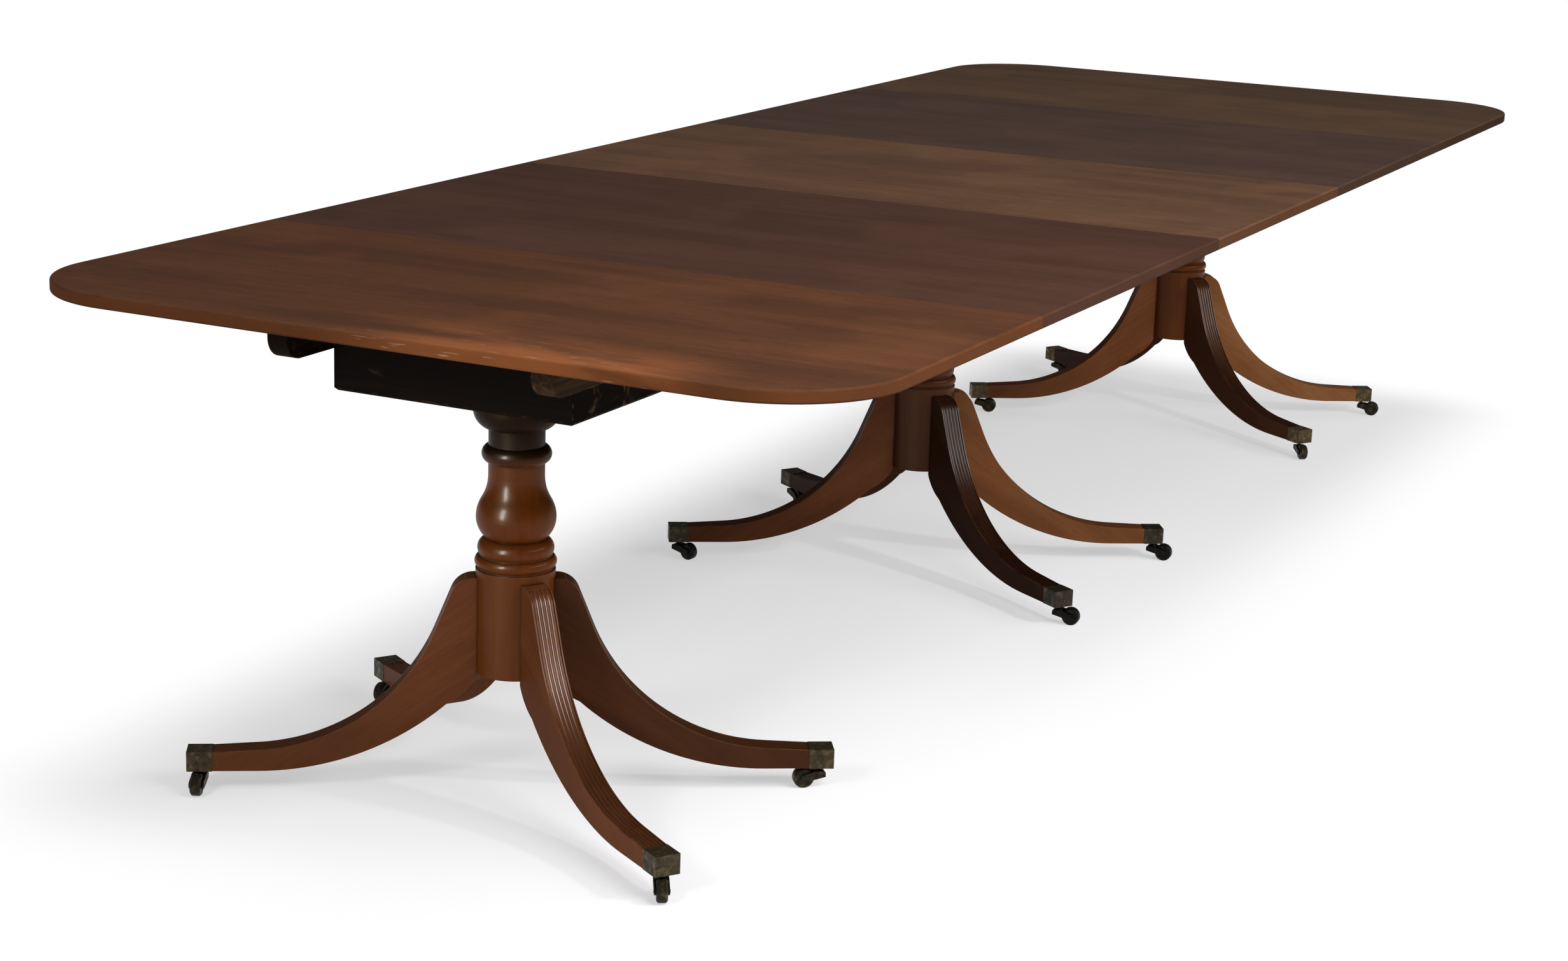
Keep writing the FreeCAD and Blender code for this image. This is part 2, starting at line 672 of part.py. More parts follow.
def castor_wheel(label, place):
    """Make one brass castor wheel, with its axle bore along Y."""
    body = new_body(label, place)
    rim = circle(body, f"{label}_rim", "XZ_Plane", 0, 0, size("wheel_radius"))
    disc = pad(body, rim, size("wheel_width"), symmetric=True)
    doc.recompute()
    names = [f"Edge{number}" for number, edge in enumerate(disc.Shape.Edges, start=1)
             if edge.BoundBox.YLength < 1e-6]
    body.Tip = dress_edges(body, "Chamfer", disc, names, size("wheel_chamfer"))
    bore_radius = size("axle_radius") + size("running_gap")
    bore = circle(body, f"{label}_bore", "XZ_Plane", 0, 0, bore_radius)
    pocket(body, bore, symmetric=True)
    return body


def pegs(label, centre, length):
    """Make the pegs that stand out of both seams of a leaf."""
    middle = size("table_height") - size("top_thickness") / 2
    half = (length - size("seam_gap")) / 2
    reach = size("peg_seat") + size("peg_reach")
    along = FreeCAD.Rotation(FreeCAD.Vector(0, 1, 0), 90)
    members = []
    for end in (-1, 1):
        start = half.value - size("peg_seat").value if end > 0 else -half.value - size("peg_reach").value
        for number in (-1, 0, 1):
            base = FreeCAD.Vector(centre + start, number * size("peg_pitch").value, middle.value)
            name = f"{label}_{'far' if end > 0 else 'near'}_{number + 2}"
            members.append(cylinder(name, size("peg_radius"), reach, FreeCAD.Placement(base, along)))
    return group(label, members)


def tongues(label, centre, length):
    """Make the brass tongues screwed under both ends of a leaf."""
    half = (length - size("seam_gap")) / 2
    width = size("tongue_width")
    thickness = size("tongue_thickness")
    play = size("slip_gap")
    members = []
    for end in (-1, 1):
        for side in (-1, 1):
            name = f"{label}_{'far' if end > 0 else 'near'}_{'back' if side > 0 else 'front'}"
            across = side * size("tongue_place").value - width.value / 2
            seat_x = half.value - size("tongue_seat").value if end > 0 else -half.value
            reach_x = half.value if end > 0 else -half.value - size("tongue_reach").value
            bottom = (underside - thickness).value
            seat = box(f"{name}_seat", size("tongue_seat"), width, thickness,
                       shifted(centre + seat_x, across, bottom))
            reach = box(f"{name}_reach", size("tongue_reach"), width, thickness - play,
                        shifted(centre + reach_x, across, bottom))
            members.append(combine("Fuse", name, seat, reach))
    return group(label, members)


def keepers(label, centre, length, ends):
    """Make the brass keepers under a pedestal section that the tongues of the leaves slide into."""
    half = (length - size("seam_gap")) / 2
    play = size("slip_gap")
    slot_width = size("tongue_width") + play * 2
    slot_height = size("tongue_thickness") + play
    width = slot_width + size("keeper_cheek") * 2
    height = slot_height + size("keeper_floor")
    members = []
    for end in ends:
        for side in (-1, 1):
            name = f"{label}_{'far' if end > 0 else 'near'}_{'back' if side > 0 else 'front'}"
            inset = size("keeper_setback") + (size("keeper_length") if end > 0 else as_size(0))
            x = centre + (half - inset).value if end > 0 else centre - (half - inset).value
            y = side * size("tongue_place").value
            solid = box(f"{name}_body", size("keeper_length"), width, height,
                        shifted(x, y - width.value / 2, (underside - height).value))
            slot = box(f"{name}_slot", size("keeper_length") * 2, slot_width, slot_height,
                       shifted(x - size("keeper_length").value / 2, y - slot_width.value / 2,
                               (underside - slot_height).value))
            members.append(combine("Cut", name, solid, slot))
    return group(label, members)


# Plan turns of the four legs of a pedestal, in degrees from +X.
splay = size("leg_azimuth").value
LEG_TURNS = {
    "back_left": 180.0 - splay,
    "front_left": 180.0 + splay,
    "front_right": -splay,
    "back_right": splay,
}

# Where each castor trails as the table stands, in degrees from +X.
CASTOR_TURNS = {
    "near": {"back_left": 205.0, "front_left": 212.0, "front_right": 130.0, "back_right": 185.0},
    "middle": {"back_left": 262.0, "front_left": 275.0, "front_right": 275.0, "back_right": 235.0},
    "far": {"back_left": 285.0, "front_left": 215.0, "front_right": 276.0, "back_right": 260.0},
}


def castor(prefix, name, centre, pintle_x, pintle_y):
    """Make the fork and the wheel of one castor, turned as the table stands."""
    turn = CASTOR_TURNS[prefix][name]
    trail = size("castor_trail").value
    horn = castor_horn(f"{prefix}_{name}_horn", shifted(pintle_x, pintle_y, 0, turn))
    axle_x = pintle_x + trail * math.cos(math.radians(turn))
    axle_y = pintle_y + trail * math.sin(math.radians(turn))
    wheel_place = shifted(axle_x, axle_y, size("wheel_radius").value, turn)
    wheel = castor_wheel(f"{prefix}_{name}_wheel", wheel_place)
    return [horn, wheel]


def pedestal_section(prefix, centre, length, rounded_end, seam_ends):
    """Make one pedestal section: board, bearers, block, column, legs, toe caps and castors."""
    loose_hole = size("peg_radius") + size("slip_gap")
    nodes = [
        board(f"{prefix}_top", centre, length, rounded_end, loose_hole, seam_ends),
        bearers(prefix, centre, length),
        block(prefix, centre),
        column(prefix, centre),
        keepers(f"{prefix}_keepers", centre, length, seam_ends),
    ]
    caps = []
    for name, turn in LEG_TURNS.items():
        place = shifted(x=centre, turn=turn)
        nodes.append(leg(f"{prefix}_{name}_leg", place))
        caps.append(toe_cap(f"{prefix}_{name}_toe_cap", place))
        pintle_x = centre + pintle_reach.value * math.cos(math.radians(turn))
        pintle_y = pintle_reach.value * math.sin(math.radians(turn))
        nodes += castor(prefix, name, centre, pintle_x, pintle_y)
    nodes.append(group(f"{prefix}_toe_caps", caps))
    return nodes


def loose_leaf(prefix, centre, length):
    """Make one loose leaf with its pegs and tongues."""
    return [
        board(f"{prefix}_leaf", centre, length, 0, size("peg_radius"), (-1, 1)),
        pegs(f"{prefix}_leaf_pegs", centre, length),
        tongues(f"{prefix}_leaf_tongues", centre, length),
    ]


def section_centres():
    """Give the middle of each part of the top along X, from the near end to the far end."""
    names = ["near_section", "near_leaf", "middle_section", "far_leaf", "far_section"]
    edge = -sum(size(name).value for name in names) / 2
    centres = {}
    for name in names:
        centres[name] = edge + size(name).value / 2
        edge += size(name).value
    return centres


centres = section_centres()
nodes = pedestal_section("near", centres["near_section"], size("near_section"), -1, (1,))
nodes += loose_leaf("near", centres["near_leaf"], size("near_leaf"))
nodes += pedestal_section("middle", centres["middle_section"], size("middle_section"), 0, (-1, 1))
nodes += loose_leaf("far", centres["far_leaf"], size("far_leaf"))
nodes += pedestal_section("far", centres["far_section"], size("far_section"), 1, (-1,))
doc.recompute()

for item in doc.Objects:
    if "Invalid" in item.State or "Error" in item.State:
        raise RuntimeError(f"{item.Label} did not build: {item.State}")
for node in nodes:
    if node.Shape.isNull() or not node.Shape.isValid():
        raise RuntimeError(f"{node.Label} has no valid shape")

os.makedirs("parts", exist_ok=True)
for node in nodes:
    node.Shape.exportStep(os.path.join("parts", f"{node.Label}.step"))
print(f"{len(nodes)} sub-parts written")
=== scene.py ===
"""Looks of a long dining table on three turned pedestals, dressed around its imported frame."""

from __future__ import annotations

import logging
import math
from dataclasses import dataclass, field
from enum import Enum
from functools import lru_cache
from typing import Any, Mapping, Sequence

import bmesh
import bpy
from mathutils import Matrix, Vector


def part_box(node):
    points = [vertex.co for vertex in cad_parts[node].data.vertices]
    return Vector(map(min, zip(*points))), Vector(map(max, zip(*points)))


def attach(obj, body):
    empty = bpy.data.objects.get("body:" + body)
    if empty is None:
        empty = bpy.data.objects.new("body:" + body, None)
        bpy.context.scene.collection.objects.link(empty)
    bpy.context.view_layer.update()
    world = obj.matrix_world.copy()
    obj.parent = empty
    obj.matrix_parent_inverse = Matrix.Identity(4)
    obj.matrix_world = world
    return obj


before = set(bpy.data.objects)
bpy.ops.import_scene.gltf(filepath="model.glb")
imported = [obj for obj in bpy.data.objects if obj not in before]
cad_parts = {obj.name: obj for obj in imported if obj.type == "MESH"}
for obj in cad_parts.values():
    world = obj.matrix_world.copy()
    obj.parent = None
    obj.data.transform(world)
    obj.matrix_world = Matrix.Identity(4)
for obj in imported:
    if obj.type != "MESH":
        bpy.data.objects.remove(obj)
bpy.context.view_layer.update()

LOG = logging.getLogger("pedestal_table")
MM = 0.001
PEDESTALS = ("near", "middle", "far")
LEAVES = ("near", "far")
LEGS = ("back_left", "front_left", "front_right", "back_right")
BOARD_ENDINGS = ("_top", "_leaf")
# The brass of the feet, and the legs that do not face the near end.
SHELTERED_ENDINGS = (
    "_toe_caps", "_horn", "_wheel", "back_left_leg", "front_right_leg", "back_right_leg")
WHITE = "#ffffff"

Pair = tuple[float, float]
Triple = tuple[float, float, float]
Share = float | bpy.types.NodeSocket
Layer = tuple[str, Share]


def linear(colour: str) -> tuple[float, float, float, float]:
    """Turn an sRGB hex colour into the linear colour that a shader takes.

    Args:
        colour: six hex digits after a hash sign.

    Returns:
        Linear red, green, blue and an alpha of one.
    """
    channels = [int(colour[place:place + 2], 16) / 255 for place in (1, 3, 5)]
    curve = [c / 12.92 if c <= 0.04045 else ((c + 0.055) / 1.055) ** 2.4 for c in channels]
    return (curve[0], curve[1], curve[2], 1.0)


def add_node(tree: bpy.types.NodeTree, kind: str, inputs: Mapping[Any, Any] | None = None,
             **settings: Any) -> bpy.types.Node:
    """Add a shader node, set it up and join what feeds it.

    Args:
        tree: node tree that takes the node.
        kind: Blender's name for the node type.
        inputs: values, or sockets of earlier nodes, by the name or number of the input.
        settings: attributes of the node itself.

    Returns:
        The new node.
    """
    node = tree.nodes.new(kind)
    for name, value in settings.items():
        setattr(node, name, value)
    for name, value in (inputs or {}).items():
        if isinstance(value, bpy.types.NodeSocket):
            tree.links.new(value, node.inputs[name])
        else:
            node.inputs[name].default_value = value
    return node


class GrainWay(Enum):
    """Which way a grain runs, as the turn that lays a pattern's length along it."""

    ALONG_TABLE = (0.0, 0.0, 0.0)
    ACROSS_TABLE = (0.0, 0.0, math.radians(90))
    UPRIGHT = (0.0, math.radians(-90), 0.0)


class Axis(Enum):
    """Way that a place on the table is measured, as the name of its coordinate."""

    ALONG = "X"
    ACROSS = "Y"
    UP = "Z"


class Spread(Enum):
    """How thickly patches lie, as the noise values where a patch starts and where it is full."""

    FIGURE = (0.38, 0.62)
    CLOUDS = (0.45, 0.70)
    PORES = (0.58, 0.68)
    DULLING = (0.35, 0.65)
    UNEVEN = (0.30, 0.70)
    RUBS = (0.34, 0.60)
    HANDS = (0.25, 0.60)
    SCRATCHES = (0.66, 0.72)
    KNOCKS = (0.50, 0.62)
    SCRAPES = (0.60, 0.74)
    BARE_METAL = (0.45, 0.68)
    TARNISH = (0.46, 0.66)


class Surface:
    """A material in the making: its shader, and patterns of real sizes laid along its grain."""

    CORNER_SAMPLES = 6
    # Share of open sky where a hollow starts, and where it is deep.
    HOLLOW_SKY = (0.92, 0.35)
    # Likeness of the rounded normal to the flat one where an arris starts, and at the arris itself.
    ARRIS_LIKENESS = (0.985, 0.80)

    def __init__(self, name: str, turn: Triple = GrainWay.ALONG_TABLE.value,
                 centre: Triple = (0.0, 0.0, 0.0)) -> None:
        """Start a material with one principled shader.

        Args:
            name: common name of the real material.
            turn: how the patterns are turned to the table.
            centre: point that the patterns are laid out from, in metres.
        """
        self.material = bpy.data.materials.new(name)
        self.material.use_nodes = True
        self.tree = self.material.node_tree
        self.tree.nodes.clear()
        self.shader = add_node(self.tree, "ShaderNodeBsdfPrincipled")
        add_node(self.tree, "ShaderNodeOutputMaterial", {"Surface": self.shader.outputs[0]})
        self.turn = turn
        self.centre = centre

    def patches(self, size_mm: Triple, strength: Share = 1.0, spread: Spread = Spread.FIGURE,
                detail: float = 3.0, warp: float = 0.3) -> bpy.types.NodeSocket:
        """Scatter soft patches of a real size over the surface.

        Args:
            size_mm: size of the patches along, across and through the grain.
            strength: value inside a patch, or the socket that gives it. Between patches it is 0.
            spread: how thickly the patches lie.
            detail: octaves of finer patches.
            warp: how far the patches are bent.

        Returns:
            The socket of the patch value.
        """
        start, full = spread.value
        spot = add_node(self.tree, "ShaderNodeTexCoord")
        place = add_node(self.tree, "ShaderNodeMapping", {
            "Vector": spot.outputs["Object"],
            "Location": self.centre,
            "Rotation": self.turn,
            "Scale": [length * MM for length in size_mm],
        }, vector_type="TEXTURE")
        noise = add_node(self.tree, "ShaderNodeTexNoise", {
            "Vector": place.outputs["Vector"], "Scale": 1.0, "Detail": detail, "Distortion": warp})
        stretch = add_node(self.tree, "ShaderNodeMapRange", {
            "Value": noise.outputs["Fac"], "From Min": start, "From Max": full, "To Max": strength,
        }, interpolation_type="SMOOTHSTEP")
        return stretch.outputs["Result"]

    def facing_up(self, start: float, full: float, strength: Share = 1.0) -> bpy.types.NodeSocket:
        """Pick out the faces that look up, or those that look down where start is above full.

        Args:
            start: upright part of the normal where the value leaves 0.
            full: upright part of the normal where the value is full.
            strength: the full value, or the socket that gives it.

        Returns:
            The socket of the value.
        """
        geometry = add_node(self.tree, "ShaderNodeNewGeometry")
        axes = add_node(self.tree, "ShaderNodeSeparateXYZ", {0: geometry.outputs["Normal"]})
        stretch = add_node(self.tree, "ShaderNodeMapRange", {
            "Value": axes.outputs["Z"], "From Min": start, "From Max": full, "To Max": strength,
        }, interpolation_type="SMOOTHSTEP")
        return stretch.outputs["Result"]

    def past(self, axis: Axis, start_mm: float, full_mm: float,
             strength: Share = 1.0) -> bpy.types.NodeSocket:
        """Pick out what lies past a place, or short of it where start is above full.

        Args:
            axis: way that the place is measured.
            start_mm: place where the value leaves 0.
            full_mm: place where the value is full.
            strength: the full value, or the socket that gives it.

        Returns:
            The socket of the value.
        """
        spot = add_node(self.tree, "ShaderNodeTexCoord")
        axes = add_node(self.tree, "ShaderNodeSeparateXYZ", {0: spot.outputs["Object"]})
        stretch = add_node(self.tree, "ShaderNodeMapRange", {
            "Value": axes.outputs[axis.value], "From Min": start_mm * MM, "From Max": full_mm * MM,
            "To Max": strength,
        }, interpolation_type="SMOOTHSTEP")
        return stretch.outputs["Result"]

    def hollows(self, reach_mm: float, strength: float = 1.0) -> bpy.types.NodeSocket:
        """Pick out quirks, grooves and inner corners, where old wax and dust stay.

        Args:
            reach_mm: how near a facing surface has to be.
            strength: value in a deep corner.

        Returns:
            The socket of the value.
        """
        start, deep = self.HOLLOW_SKY
        open_sky = add_node(self.tree, "ShaderNodeAmbientOcclusion", {"Distance": reach_mm * MM},
                            samples=self.CORNER_SAMPLES)
        stretch = add_node(self.tree, "ShaderNodeMapRange", {
            "Value": open_sky.outputs["AO"], "From Min": start, "From Max": deep, "To Max": strength})
        return stretch.outputs["Result"]

    def eased(self, round_mm: float,
              strength: float = 1.0) -> tuple[bpy.types.NodeSocket, bpy.types.NodeSocket]:
        """Round the sharp arrises to the eye, and pick them out where cloths have rubbed them.

        Args:
            round_mm: radius of the rounded arris.
            strength: value on the arris itself.

        Returns:
            The sockets of the rounded normal and of the rubbed value.
        """
        start, full = self.ARRIS_LIKENESS
        rounded = add_node(self.tree, "ShaderNodeBevel", {"Radius": round_mm * MM},
                           samples=self.CORNER_SAMPLES)
        geometry = add_node(self.tree, "ShaderNodeNewGeometry")
        likeness = add_node(self.tree, "ShaderNodeVectorMath", {
            0: rounded.outputs["Normal"], 1: geometry.outputs["Normal"]}, operation="DOT_PRODUCT")
        stretch = add_node(self.tree, "ShaderNodeMapRange", {
            "Value": likeness.outputs["Value"], "From Min": start, "From Max": full, "To Max": strength})
        return rounded.outputs["Normal"], stretch.outputs["Result"]

    def coats(self, ground: str, *layers: Layer) -> bpy.types.NodeSocket:
        """Lay coats of colour over a ground.

        Args:
            ground: sRGB hex colour of the ground.
            layers: sRGB hex colour of each coat, and the number or socket that says how much of it covers.

        Returns:
            The socket of the colour that is seen.
        """
        colour: Any = linear(ground)
        for tint, share in layers:
            # A mix has its colours at inputs 6 and 7, and gives the mixed colour at output 2.
            coat = add_node(self.tree, "ShaderNodeMix", {0: share, 6: colour, 7: linear(tint)},
                            data_type="RGBA")
            colour = coat.outputs[2]
        return colour

    def finish(self, colour: bpy.types.NodeSocket, roughness: bpy.types.NodeSocket,
               normal: bpy.types.NodeSocket, constants: Mapping[str, Any]) -> bpy.types.Material:
        """Join the patterns to the shader.

        Args:
            colour: socket of the surface colour.
            roughness: socket of the roughness.
            normal: socket of the surface normal.
            constants: values that are the same all over, by the shader's input.

        Returns:
            The finished material.
        """
        for name, socket in (("Base Color", colour), ("Roughness", roughness), ("Normal", normal)):
            self.tree.links.new(socket, self.shader.inputs[name])
        for name, value in constants.items():
            self.shader.inputs[name].default_value = value
        return self.material


@dataclass(frozen=True)
class Mahogany:
    """Mahogany under old hand-rubbed shellac.

    To the eye it is a red-brown ground with long soft streaks, a broad mottled figure and short dark
    pores. The polish is a low sheen, thin on the arrises and dark with wax in the hollows. Some finishes
    also lay the dark colour of the wax on as painted shade, on edges and upward faces.

    A pair of facings is the upright part of the normal where a coat starts and where it is full. A pair
    of places says the same along one of the table's axes.
    """

    name: str
    ground: str
    streak: str
    pale: str
    rubbed: str = "#8d5a35"
    # Dark wax in the pores and hollows; the same colour is also laid on as painted shade.
    wax_and_shade: str = "#170d08"
    turn: Triple = GrainWay.ACROSS_TABLE.value
    centre: Triple = (0.0, 0.0, 0.0)

    figure_mm: Triple = (760.0, 85.0, 85.0)
    streak_mm: Triple = (300.0, 12.0, 12.0)
    cloud_mm: Triple = (240.0, 210.0, 210.0)
    # Real pores are a third of a millimetre wide. They are drawn coarser so that they show.
    pore_mm: Triple = (24.0, 1.4, 1.4)
    figure: float = 0.4
    streaks: float = 0.2
    clouds: float = 0.5
    pores: float = 0.3
    pore_depth_mm: float = 0.3
    pore_bump: float = 0.2
    planed_mm: Triple = (170.0, 48.0, 48.0)
    planed_depth_mm: float = 0.5
    planed_bump: float = 0.3

    polish: Pair = (0.34, 0.46)
    dulled_mm: Triple = (150.0, 90.0, 90.0)
    matt: float = 0.9
    specular: float = 0.05
    sheen: str = WHITE
    bright_wax: float = 0.0
    wax_roughness: float = 0.3
    waxed_facing: Pair = (0.9, 0.98)
    # No normal has an upright part as large as these, so the wax covers level faces too.
    wax_ends_facing: Pair = (2.0, 1.5)
    waxed_above_mm: Pair = (0.0, 1.0)

    round_mm: float = 1.6
    wear: float = 0.8
    rub_mm: Triple = (40.0, 22.0, 22.0)
    hollow_mm: float = 5.0
    hollow_wax: float = 0.75

    # Colour of the upright edge faces. Where it is darker than the ground, it is painted shade.
    edge: str = ""
    edge_facing: Pair = (0.6, 0.2)
    edge_cover: float = 0.75
    # Painted shade along the foot of the edges, below a height, in the dark colour of the wax.
    edge_foot_mm: Pair = (704.5, 701.5)
    edge_foot_shade: float = 0.6
    # Painted shade on the upright faces along the long side at -Y, in the dark colour of the wax.
    shaded_long_edge: float = 0.0
    shaded_long_edge_across_mm: Pair = (-560.0, -650.0)

    worn_along_mm: Pair | None = None
    worn_across_mm: tuple[float, float, float, float] = (150.0, -100.0, -340.0, -500.0)
    worn: float = 0.52
    worn_mm: Triple = (260.0, 60.0, 60.0)
    scratch: str = "#b38d72"
    scratch_mm: Triple = (45.0, 5.0, 5.0)

    # Painted shade on the upward faces, strongest near the floor, in the dark colour of the wax.
    shaded_upper: float = 0.0
    shaded_below_mm: Pair = (250.0, 80.0)
    shaded_facing: Pair = (0.2, 0.7)
    # Darker towards the floor, in the dark colour of the wax.
    darker_below: float = 0.0
    darker_below_mm: Pair = (180.0, 60.0)
    # Darker above a height, towards the block: partly a stain on the wood and partly painted shade under
    # the top.
    stain_and_shade: str = "#170a06"
    stain_and_shade_above_mm: float = 0.0
    stain_and_shade_fade_mm: float = 35.0
    stain_and_shade_cover: float = 0.95
    dull_under: bool = False
    dull_facing: Pair = (-0.1, -0.4)
    raw_under: str = ""
    raw_facing: Pair = (-0.6, -0.9)

    def material(self) -> bpy.types.Material:
        """Make the node material of this finish."""
        surface = Surface(self.name, self.turn, self.centre)
        tree = surface.tree
        pores = surface.patches(self.pore_mm, self.pores, Spread.PORES, detail=1.0, warp=0.0)
        normal, arris = surface.eased(self.round_mm, self.wear)
        layers: list[Layer] = [
            (self.pale, surface.patches(self.figure_mm, self.figure)),
            (self.streak, surface.patches(self.streak_mm, self.streaks, detail=4.0)),
            (self.pale, surface.patches(self.cloud_mm, self.clouds, Spread.CLOUDS)),
            (self.wax_and_shade, pores),
            *self.darkening(surface),
            (self.rubbed, surface.patches(self.rub_mm, arris, Spread.RUBS, detail=4.0)),
            *self.hand_wear(surface),
            (self.wax_and_shade, surface.hollows(self.hollow_mm, self.hollow_wax)),
        ]
        if self.raw_under:
            layers.append((self.raw_under, surface.facing_up(*self.raw_facing)))
        wood = surface.coats(self.ground, *layers)
        open_grain = add_node(tree, "ShaderNodeBump", {
            "Height": pores, "Strength": self.pore_bump, "Distance": self.pore_depth_mm * MM,
            "Normal": normal}, invert=True)
        planed = surface.patches(self.planed_mm, 1.0, Spread.UNEVEN, detail=1.0)
        hand_planed = add_node(tree, "ShaderNodeBump", {
            "Height": planed, "Strength": self.planed_bump, "Distance": self.planed_depth_mm * MM,
            "Normal": open_grain.outputs[0]})
        if self.bright_wax:
            high_up = surface.past(Axis.UP, *self.waxed_above_mm, self.bright_wax)
            not_level = surface.facing_up(*self.wax_ends_facing, high_up)
            waxed = surface.facing_up(*self.waxed_facing, not_level)
            tree.links.new(waxed, surface.shader.inputs["Coat Weight"])
        return surface.finish(wood, self.roughness(surface), hand_planed.outputs[0], {
            "Specular IOR Level": self.specular, "Specular Tint": linear(self.sheen),
            "Coat Roughness": self.wax_roughness})

    def darkening(self, surface: Surface) -> list[Layer]:
        """Find where the wood is laid darker: painted shade on edges and upward faces, darker parts near
        the floor, and a neck darker partly by a stain and partly by painted shade.

        Args:
            surface: material that takes them.

        Returns:
            The colour of each coat and how much of it covers.
        """
        layers: list[Layer] = []
        if self.edge:
            # The edge colour, painted shade where it is darker than the ground.
            layers.append((self.edge, surface.facing_up(*self.edge_facing, self.edge_cover)))
            # Painted shade along the foot of the edges.
            layers.append((self.wax_and_shade, surface.past(Axis.UP, *self.edge_foot_mm, self.edge_foot_shade)))
        # Painted shade along the long side at -Y.
        if self.shaded_long_edge:
            long_side = surface.past(Axis.ACROSS, *self.shaded_long_edge_across_mm, self.shaded_long_edge)
            layers.append((self.wax_and_shade, surface.facing_up(*self.edge_facing, long_side)))
        # Painted shade on the upward faces near the floor.
        if self.shaded_upper:
            near_floor = surface.past(Axis.UP, *self.shaded_below_mm, self.shaded_upper)
            layers.append((self.wax_and_shade, surface.facing_up(*self.shaded_facing, near_floor)))
        # Darker towards the floor.
        if self.darker_below:
            layers.append((self.wax_and_shade, surface.past(Axis.UP, *self.darker_below_mm, self.darker_below)))
        # Darker towards the block: partly a stain and partly painted shade.
        if self.stain_and_shade_above_mm:
            full_mm = self.stain_and_shade_above_mm + self.stain_and_shade_fade_mm
            neck = surface.past(Axis.UP, self.stain_and_shade_above_mm, full_mm, self.stain_and_shade_cover)
            layers.append((self.stain_and_shade, neck))
        return layers

    def hand_wear(self, surface: Surface) -> list[Layer]:
        """Find the pale wear and the scratches that hands leave at one end of the top.

        Args:
            surface: material that takes them.

        Returns:
            The colour of each coat and how much of it covers.
        """
        if not self.worn_along_mm:
            return []
        begin, full, still, end = self.worn_across_mm
        one_side = surface.past(Axis.ACROSS, begin, full, self.worn)
        both_sides = surface.past(Axis.ACROSS, end, still, one_side)
        hands = surface.past(Axis.ALONG, *self.worn_along_mm, both_sides)
        return [
            (self.rubbed, surface.patches(self.worn_mm, hands, Spread.HANDS, detail=4.0)),
            (self.scratch, surface.patches(self.scratch_mm, hands, Spread.SCRATCHES, detail=2.0)),
        ]

    def roughness(self, surface: Surface) -> bpy.types.NodeSocket:
        """Find how dull the polish is, with matt edges and undersides where the finish has them.

        Args:
            surface: material that takes it.

        Returns:
            The socket of the roughness.
        """
        dulled = surface.patches(self.dulled_mm, 1.0, Spread.DULLING)
        polish = add_node(surface.tree, "ShaderNodeMapRange", {
            "Value": dulled, "To Min": self.polish[0], "To Max": self.polish[1]})
        for plain, facing in ((self.edge, self.edge_facing), (self.dull_under, self.dull_facing)):
            if plain:
                polish = add_node(surface.tree, "ShaderNodeMath", {
                    0: polish.outputs[0], 1: surface.facing_up(*facing, self.matt)}, operation="MAXIMUM")
        return polish.outputs[0]


@dataclass(frozen=True)
class StainedDeal:
    """Softwood stained nearly black.

    To the eye it is matt and almost without colour, with coarse straight grain, and knocked grey-brown
    along its arrises and in scattered scuffs.
    """

    name: str
    turn: Triple
    ground: str = "#0a0503"
    grain: str = "#170e09"
    scuff: str = "#6a5038"
    # Nearly black colour laid past a place across the table.
    black_side: str = "#060302"
    grain_mm: Triple = (260.0, 6.0, 6.0)
    knock_mm: Triple = (26.0, 9.0, 9.0)
    scrape_mm: Triple = (120.0, 34.0, 34.0)
    scuffs: float = 0.65
    # That place across the table, and how much of the nearly black colour covers.
    black_side_across_mm: Pair | None = None
    black_side_cover: float = 0.85
    round_mm: float = 3.5
    matt: Pair = (0.58, 0.75)
    specular: float = 0.015
    sawn_depth_mm: float = 0.3
    sawn_bump: float = 0.4

    def material(self) -> bpy.types.Material:
        """Make the node material of this finish."""
        surface = Surface(self.name, self.turn)
        tree = surface.tree
        grain = surface.patches(self.grain_mm, 1.0, detail=4.0)
        normal, arris = surface.eased(self.round_mm)
        knocks = surface.patches(self.knock_mm, arris, Spread.KNOCKS, detail=5.0, warp=0.6)
        scrapes = surface.patches(self.scrape_mm, self.scuffs, Spread.SCRAPES, detail=6.0, warp=1.2)
        layers: list[Layer] = [(self.grain, grain), (self.scuff, knocks), (self.scuff, scrapes)]
        # Nearly black past a place across the table.
        if self.black_side_across_mm:
            blacker = surface.past(Axis.ACROSS, *self.black_side_across_mm, self.black_side_cover)
            layers.append((self.black_side, blacker))
        wood = surface.coats(self.ground, *layers)
        roughness = add_node(tree, "ShaderNodeMapRange", {
            "Value": grain, "To Min": self.matt[0], "To Max": self.matt[1]})
        sawn = add_node(tree, "ShaderNodeBump", {
            "Height": grain, "Strength": self.sawn_bump, "Distance": self.sawn_depth_mm * MM,
            "Normal": normal})
        return surface.finish(wood, roughness.outputs[0], sawn.outputs[0], {
            "Specular IOR Level": self.specular})


